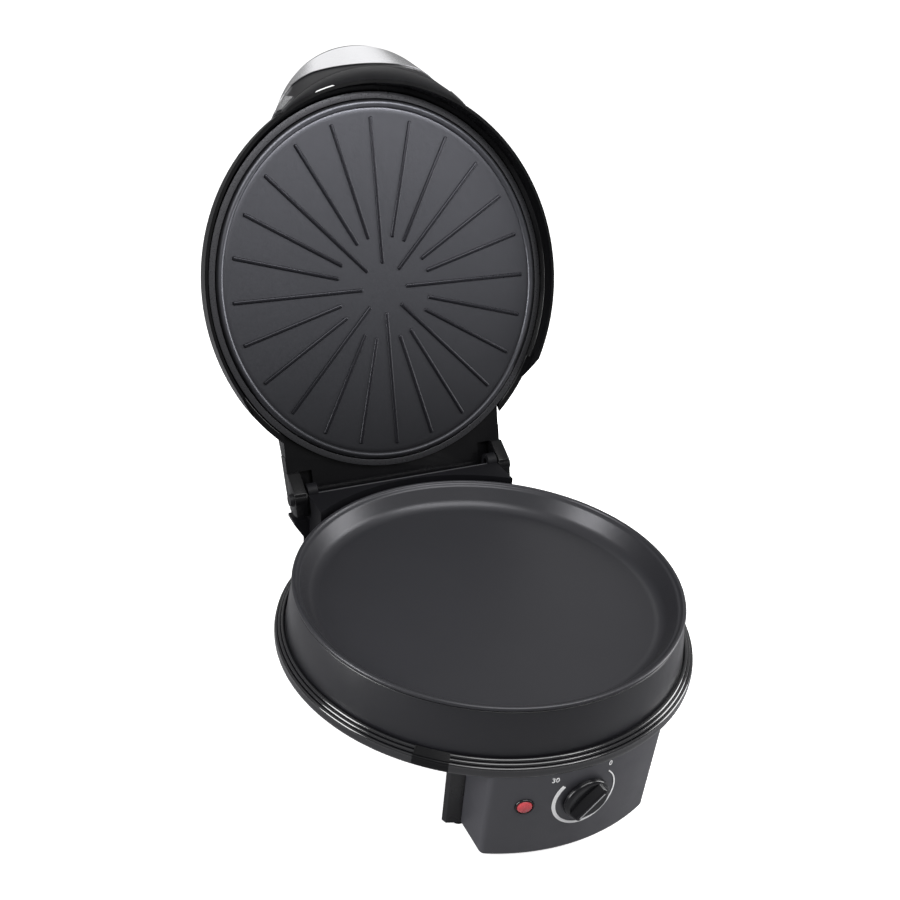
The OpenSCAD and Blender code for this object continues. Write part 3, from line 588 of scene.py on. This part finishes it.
def dial_arc():
    """Printed arc on the curved panel, thick where it starts and thin where it ends."""
    mesh = bmesh.new()
    bmesh.ops.create_grid(mesh, x_segments=90, y_segments=1, size=0.5)
    for vert in mesh.verts:
        share = vert.co.x + 0.5
        side = vert.co.y + 0.5
        angle = math.radians(ARC_START - share * ARC_SWEEP)
        radius = ARC_R - side * (ARC_THICK - ARC_TAPER * share)
        aside = radius * math.sin(angle)
        up = radius * math.cos(angle)
        turn = aside / BLOCK_R
        out = BLOCK_R + 0.2
        vert.co = Vector((out * math.sin(turn), -out * math.cos(turn), knob_axis.z + up))
    bmesh.ops.recalc_face_normals(mesh, faces=mesh.faces)
    bmesh.ops.solidify(mesh, geom=mesh.faces[:], thickness=0.18)
    return mesh


def make_panel():
    """Figures, dial arc and lamp."""
    zero = panel_text("0", "zero_mark", ZERO_PLACE)
    thirty = panel_text("30", "thirty_mark", THIRTY_PLACE)
    make_piece(joined([zero, thirty]), "dial_figures", "print", "base", [])
    make_piece(dial_arc(), "dial_arc", "print", "base", ["dial_scale"])
    lamp_turn = math.asin(LAMP_ASIDE / BLOCK_R)
    bezel = turned([(5.2, -0.5), (7.3, -0.5), (7.3, 0.7, 0.5), (6.6, 1.4, 0.4), (6.0, 1.2, 0.3),
                    (5.8, 0.5)], 64)
    bezel.transform(on_panel(lamp_turn, LAMP_Z))
    make_piece(bezel, "lamp_surround", "knob", "base", ["lamp_bezel"])
    lens = turned([(0, 2.6), (3.0, 2.4, 1.4), (5.7, 1.2, 0.8), (5.8, -1), (0, -1)], 64, closed=False)
    lens.transform(on_panel(lamp_turn, LAMP_Z))
    make_piece(lens, "lamp_dome", "lamp", "base", ["lamp_lens"])


KNOB_R = 18.4
KNOB_OUT = 10.2
KNOB_GAP = 0.6
ZERO_TURN = 43
BAR_WIDTH = 12.5
BAR_FOOT = 3
LINE_HALF = (0.45, 13)


def on_knob(mesh):
    """Places what is drawn on the knob's own disc, turned to zero."""
    gap = Matrix.Translation((0, 0, KNOB_GAP))
    turn = Matrix.Rotation(-math.radians(ZERO_TURN), 4, "Z")
    mesh.transform(on_panel(0, knob_axis.z) @ gap @ turn)
    return mesh


def make_knob():
    """Round knob with a tall rounded bar across it and a pointer line along the bar."""
    disc = turned([(3.1, 0.2), (KNOB_R, 0.2, 0.3), (KNOB_R - 0.3, 3.9, 1.2), (KNOB_R - 2.6, 4.8, 0.8),
                   (3.1, 4.0)], 96)
    bar = bmesh.new()
    bmesh.ops.create_cube(bar, size=1)
    height = KNOB_OUT - BAR_FOOT
    bmesh.ops.scale(bar, vec=(BAR_WIDTH, 2 * KNOB_R - 1.6, height), verts=bar.verts)
    bmesh.ops.translate(bar, vec=(0, 0, BAR_FOOT + height / 2), verts=bar.verts)
    for vert in bar.verts:
        narrow = vert.co.z > KNOB_OUT - 1
        vert.co.x *= 0.3 if narrow else 1
        vert.co.y *= 0.88 if narrow else 0.94
    soften(bar, 1.5, 4)
    make_piece(on_knob(joined([disc, bar])), "timer_knob_rounded", "knob", "knob", ["timer_knob"])
    w, h = LINE_HALF
    line = prism([(-w, -h), (w, -h), (w, h), (-w, h)], KNOB_OUT - 0.3, KNOB_OUT + 0.15, 0.1)
    make_piece(on_knob(line), "pointer_line", "pointer", "knob", ["knob_pointer"])


# Lid

LID_R = 160
EDGE_Z = RIB_Z - 14
PLATE_Z = RIB_Z + 1.4
BEAD_CREST = 144.5
BEAD_ROUND = 3.2
RING_IN = BEAD_CREST + BEAD_ROUND + 0.6
RING_OUT = LID_R - 6.5
RIB_COUNT = 24
RIB_SIZE = (3.4, 2.8)
RIB_OUTER = 135
RIB_INNER = 42
LONG_RIB_INNER = 20


def make_plate():
    """Upper plate: a raised bead round the edge and soft ribs in rays."""
    rise = [(BEAD_CREST - BEAD_ROUND - 3.5, PLATE_Z), (BEAD_CREST - BEAD_ROUND - 1.2, PLATE_Z - 0.3)]
    crest = [(BEAD_CREST + BEAD_ROUND * math.cos(math.radians(a)),
              PLATE_Z + 0.8 - BEAD_ROUND * math.sin(math.radians(a))) for a in range(165, -1, -11)]
    edge = [(BEAD_CREST + BEAD_ROUND, PLATE_Z + 6), (BEAD_CREST + BEAD_ROUND - 2, PLATE_Z + 6),
            (BEAD_CREST + BEAD_ROUND - 2, PLATE_Z + 2), (0, PLATE_Z + 2)]
    plate = turned([(0, PLATE_Z)] + rise + crest + edge, closed=False)
    make_piece(open_up(plate), "upper_plate_beaded", "coating", "lid", ["upper_plate"], sharp=60)
    parts = []
    for k in range(RIB_COUNT):
        inner = LONG_RIB_INNER if k % 3 == 0 else RIB_INNER
        turn = Matrix.Rotation(FULL_TURN * k / RIB_COUNT, 3, "Z")
        rib = bmesh.new()
        bmesh.ops.create_cube(rib, size=1)
        bmesh.ops.scale(rib, vec=(RIB_SIZE[0], RIB_OUTER - inner, RIB_SIZE[1]), verts=rib.verts)
        soften(rib, 1.3, 5)
        bmesh.ops.translate(rib, vec=(0, -(RIB_OUTER + inner) / 2, PLATE_Z + 0.1), verts=rib.verts)
        bmesh.ops.rotate(rib, verts=rib.verts, cent=(0, 0, 0), matrix=turn)
        parts.append(rib)
    make_piece(open_up(joined(parts)), "upper_plate_ribs", "rib", "lid", ["upper_plate"], sharp=60)


SKIRT_END = 118
SKIRT_TAPER = 7.5
SKIRT_SKIN_R = LID_R - 0.05
SKIRT_WALL = 2.2
EAR_SPAN = (94.7, 105.9)


def mirrored(mesh):
    """The same mesh on the other side of the object."""
    bmesh.ops.scale(mesh, vec=(-1, 1, 1), verts=mesh.verts)
    bmesh.ops.reverse_faces(mesh, faces=mesh.faces)
    return mesh


def skirt_taper():
    """Slanting end of the lid's skirt: nothing at its free edge, longest where it meets the lid."""
    mesh = bmesh.new()
    bmesh.ops.create_grid(mesh, x_segments=6, y_segments=8, size=0.5)
    for vert in mesh.verts:
        rise = vert.co.y + 0.5
        turn = math.radians(SKIRT_END - 0.5 + (vert.co.x + 0.5) * (0.6 + SKIRT_TAPER * rise))
        vert.co = Vector((SKIRT_SKIN_R * math.sin(turn), -SKIRT_SKIN_R * math.cos(turn),
                          EDGE_Z + 0.1 + rise * (RIB_Z + 2 - EDGE_Z)))
    bmesh.ops.recalc_face_normals(mesh, faces=mesh.faces)
    bmesh.ops.solidify(mesh, geom=mesh.faces[:], thickness=SKIRT_WALL)
    return mesh


def make_lid():
    """Grey ring, the shell with softened edges, its square ears and the slanting ends of its skirt."""
    low = RIM_Z + 0.6
    ring = turned([(RING_IN, low, 0.3), (RING_OUT, low, 0.3), (RING_OUT, low + 1.2, 0.2),
                   (RING_IN + 2, low + 1.2), (RING_IN + 2, low + 14), (RING_IN, low + 14)])
    make_piece(open_up(ring), "lid_trim_ring", "trim", "lid", ["lid_ring"])
    mesh = copy_of("lid_shell")
    soften(mesh, 0.6, 3, 40, lambda e: e.calc_length() > 1.5)
    make_piece(mesh, "lid_shell_softened", "lid", "lid", ["lid_shell"], sharp=16)
    y, z = hinge.y, hinge.z
    ear = [(y - 22, z + 11), (y - 22, z + 5), (y - 6, z - 9.4), (y + 14.5, z - 9.4), (y + 14.5, z + 8),
           (y + 10, z + 11)]
    near, far = EAR_SPAN
    sides = [prism(ear, near, far, 0.7, "X"), prism(ear, -far, -near, 0.7, "X")]
    make_piece(open_up(joined(sides)), "lid_ears", "lid", "lid", ["lid_shell"])
    ends = [skirt_taper(), mirrored(skirt_taper())]
    make_piece(open_up(joined(ends)), "lid_skirt_ends", "lid", "lid", ["lid_shell"])


HANDLE_LEVELS = 34
LOW_ARC = (120, 120, -49.5)
TOP_ARC = (74, 62, -128.5)
HANDLE_HALF = 85
STEEL_HALF = 52
SLOT_FROM = -0.62
SLOT_TO = -0.44
SLOT_GAP = 0.6
HANDLE_LAP = -0.3
LOOP_WALL = 2
STEEL_PROUD = 0.35
STEEL_THICK = 0.6
STEEL_LOW = 0.09
STEEL_RISE = 0.55
STEEL_TOP = 0.91
FRONT_REACH = 0.99
END_SPAN = (0.80, 0.95)
END_LOW = 0.10
END_TOP = 0.57


def loop_arc(share):
    """Half width, half depth and centre of the handle's outline at a level between its edges."""
    return [a + (b - a) * share for a, b in zip(LOW_ARC, TOP_ARC)]


def lid_radius(share):
    """Outer radius of the lid at a level of the handle."""
    rise = EDGE_Z + HANDLE_LEVELS * share - RIB_Z - 1
    return LID_R * (1 - max(rise, 0) / 37) ** (1 / 4.5) + 0.3


def loop_end(share):
    """Angle at which the handle's outline meets the lid."""
    wide, deep, middle = loop_arc(share)
    angle = 0.0
    while math.hypot(wide * math.sin(angle), middle - deep * math.cos(angle)) > lid_radius(share):
        angle += 0.002
    return angle


def loop_point(angle, share, inward):
    """Point of the handle at an angle from the front, moved in from the outer skin."""
    wide, deep, middle = loop_arc(share)
    return Vector(((wide - inward) * math.sin(angle), middle - (deep - inward) * math.cos(angle),
                   EDGE_Z + HANDLE_LEVELS * share))


def make_handle():
    """Black loop of the handle and the brushed steel cover on its front."""
    rows = 28
    ends = [loop_end(i / 14) for i in range(15)]
    mesh = bmesh.new()
    bmesh.ops.create_grid(mesh, x_segments=72, y_segments=rows + 2, size=0.5)
    for vert in mesh.verts:
        along = 2 * vert.co.x
        row = round((vert.co.y + 0.5) * (rows + 2))
        inner = row > rows / 2
        step = min(row, rows + 1 - row) if row <= rows + 1 else 0
        share = max(0, min(step, 14)) / 14
        angle = along * ends[round(share * 14)]
        depth = 0
        if inner and row <= rows + 1:
            low = loop_point(along * ends[0], 0, 0)
            slot = SLOT_GAP if SLOT_FROM < along < SLOT_TO else HANDLE_LAP
            depth = max(math.hypot(low.x, low.y) - LID_R - slot, LOOP_WALL) - share
        vert.co = loop_point(angle, share, depth)
    bmesh.ops.remove_doubles(mesh, verts=mesh.verts, dist=0.002)
    bmesh.ops.holes_fill(mesh, edges=mesh.edges, sides=0)
    soften(mesh, 0.9, 3, 50)
    make_piece(open_up(mesh), "handle_loop", "grip", "lid", ["handle_grip"], sharp=50)
    make_cover()


def cover_sheet(first, last, low_at, high):
    """Sheet of steel on the handle's front, between two places along it."""
    mesh = bmesh.new()
    bmesh.ops.create_grid(mesh, x_segments=100, y_segments=12, size=0.5)
    for vert in mesh.verts:
        along = first + (last - first) * (vert.co.x + 0.5)
        low = low_at(along)
        share = low + (high - low) * (vert.co.y + 0.5)
        vert.co = loop_point(along * loop_end(share), share, -STEEL_PROUD)
    bmesh.ops.recalc_face_normals(mesh, faces=mesh.faces)
    bmesh.ops.solidify(mesh, geom=mesh.faces[:], thickness=STEEL_THICK)
    return mesh


def front_low(along):
    """Lower edge of the steel on the handle's front, which curves up from the middle."""
    return STEEL_LOW + STEEL_RISE * min(1, abs(along) * HANDLE_HALF / STEEL_HALF) ** 2.2


def make_cover():
    """Steel cover: as tall as the handle's front in the middle, a band at the sides, and two end pieces."""
    front = cover_sheet(-FRONT_REACH, FRONT_REACH, front_low, STEEL_TOP)
    right = cover_sheet(*END_SPAN, lambda along: END_LOW, END_TOP)
    left = mirrored(cover_sheet(*END_SPAN, lambda along: END_LOW, END_TOP))
    cover = open_up(joined([front, left, right]))
    make_piece(cover, "handle_cover_steel", "cover", "lid", ["handle_cover"], sharp=50)


LIP_SECTION = (163.2, 164.6, 135.3, 136.2)
LIP_HALF = 83.5


def make_tower():
    """Hinge tower with softened edges, and a lighter strip along its top as a painted highlight."""
    mesh = copy_of("hinge_tower")
    soften(mesh, 0.6, 3, 40, lambda e: e.calc_length() > 1.5)
    make_piece(mesh, "hinge_tower_softened", "tower", "base", ["hinge_tower"], sharp=16)
    # A thin strip in a lighter grey along the tower's top: a painted highlight of its edge.
    front, back, low, high = LIP_SECTION
    lip = prism([(front, low), (back, low), (back, high), (front, high)], -LIP_HALF, LIP_HALF, 0.3, "X")
    make_piece(lip, "tower_lip_painted_highlight", "edge", "base", ["hinge_tower"])


# Floor, world and lamps

FLOOR_GLOW = 0.72
WORLD_GRADE = {"From Min": -0.1, "From Max": 0.9, "To Min": 0.10, "To Max": 0.62}


def make_floor():
    """A white floor: as light as the surround to the camera, and darker in the object's shadow."""
    mesh = bmesh.new()
    bmesh.ops.create_grid(mesh, x_segments=1, y_segments=1, size=8)
    data = bpy.data.meshes.new("floor")
    mesh.to_mesh(data)
    mesh.free()
    floor = bpy.data.objects.new("floor", data)
    bpy.context.scene.collection.objects.link(floor)
    material = bpy.data.materials.new("white_floor")
    material.use_nodes = True
    tree = material.node_tree
    shader = tree.nodes["Principled BSDF"]
    shader.inputs["Roughness"].default_value = 0.9
    shader.inputs["Specular IOR Level"].default_value = 0.0
    glow = tree.nodes.new("ShaderNodeEmission")
    path = tree.nodes.new("ShaderNodeLightPath")
    share = tree.nodes.new("ShaderNodeMath")
    share.operation = "MULTIPLY"
    share.inputs[1].default_value = FLOOR_GLOW
    both = tree.nodes.new("ShaderNodeAddShader")
    tree.links.new(path.outputs["Is Camera Ray"], share.inputs[0])
    tree.links.new(tint(tree, path.outputs["Is Camera Ray"], (0.30, 0.30, 0.31), (0.80, 0.80, 0.80)),
                   shader.inputs["Base Color"])
    tree.links.new(share.outputs["Value"], glow.inputs["Strength"])
    tree.links.new(shader.outputs["BSDF"], both.inputs[0])
    tree.links.new(glow.outputs["Emission"], both.inputs[1])
    tree.links.new(both.outputs["Shader"], tree.nodes["Material Output"].inputs["Surface"])
    data.materials.append(material)


def make_world():
    """A white surround for the camera, and a softer graded one for light and reflections."""
    world = bpy.data.worlds.new("studio")
    bpy.context.scene.world = world
    world.use_nodes = True
    tree = world.node_tree
    seen = tree.nodes["Background"]
    seen.inputs["Color"].default_value = (1, 1, 1, 1)
    seen.inputs["Strength"].default_value = 1.0
    light = tree.nodes.new("ShaderNodeBackground")
    light.inputs["Strength"].default_value = 1.0
    coordinates = tree.nodes.new("ShaderNodeTexCoord")
    parts = tree.nodes.new("ShaderNodeSeparateXYZ")
    grade = tree.nodes.new("ShaderNodeMapRange")
    for key, value in WORLD_GRADE.items():
        grade.inputs[key].default_value = value
    tree.links.new(coordinates.outputs["Generated"], parts.inputs["Vector"])
    tree.links.new(parts.outputs["Z"], grade.inputs["Value"])
    tree.links.new(grade.outputs["Result"], light.inputs["Color"])
    path = tree.nodes.new("ShaderNodeLightPath")
    mix = tree.nodes.new("ShaderNodeMixShader")
    tree.links.new(path.outputs["Is Camera Ray"], mix.inputs["Fac"])
    tree.links.new(light.outputs["Background"], mix.inputs[1])
    tree.links.new(seen.outputs["Background"], mix.inputs[2])
    tree.links.new(mix.outputs["Shader"], tree.nodes["World Output"].inputs["Surface"])


def soft_lamp(name, place, aim, width, height, watts):
    """One large soft lamp."""
    lamp = bpy.data.lights.new(name, "AREA")
    lamp.shape = "RECTANGLE"
    lamp.size = width
    lamp.size_y = height
    lamp.energy = watts
    holder = bpy.data.objects.new(name, lamp)
    bpy.context.scene.collection.objects.link(holder)
    holder.location = place
    holder.rotation_mode = "QUATERNION"
    holder.rotation_quaternion = (Vector(aim) - Vector(place)).to_track_quat("-Z", "Y")


def make_lamps():
    """Softboxes above, at both sides and behind, and a narrow strip in front."""
    soft_lamp("top_softbox", (0.1, -0.7, 1.7), (0, 0.1, 0.15), 1.4, 1.0, 24)
    soft_lamp("right_softbox", (1.4, -0.3, 0.55), (0, 0, 0.15), 0.6, 1.0, 18)
    soft_lamp("left_softbox", (-1.4, 0.1, 0.55), (0, 0, 0.15), 0.5, 1.0, 23)
    soft_lamp("back_softbox", (0.45, 1.9, 1.5), (0, 0.3, 0.4), 1.1, 0.8, 2.0)
    soft_lamp("front_strip", (0.75, -0.9, 1.5), (0.05, -0.1, 0.08), 0.5, 0.2, 5.0)


bpy.context.scene.view_settings.view_transform = "Standard"
finishes = make_materials()
make_camera()
make_floor()
make_world()
make_lamps()
dress_cad_nodes()
make_base()
make_legs()
make_pan()
make_panel()
make_knob()
make_plate()
make_lid()
make_handle()
make_tower()
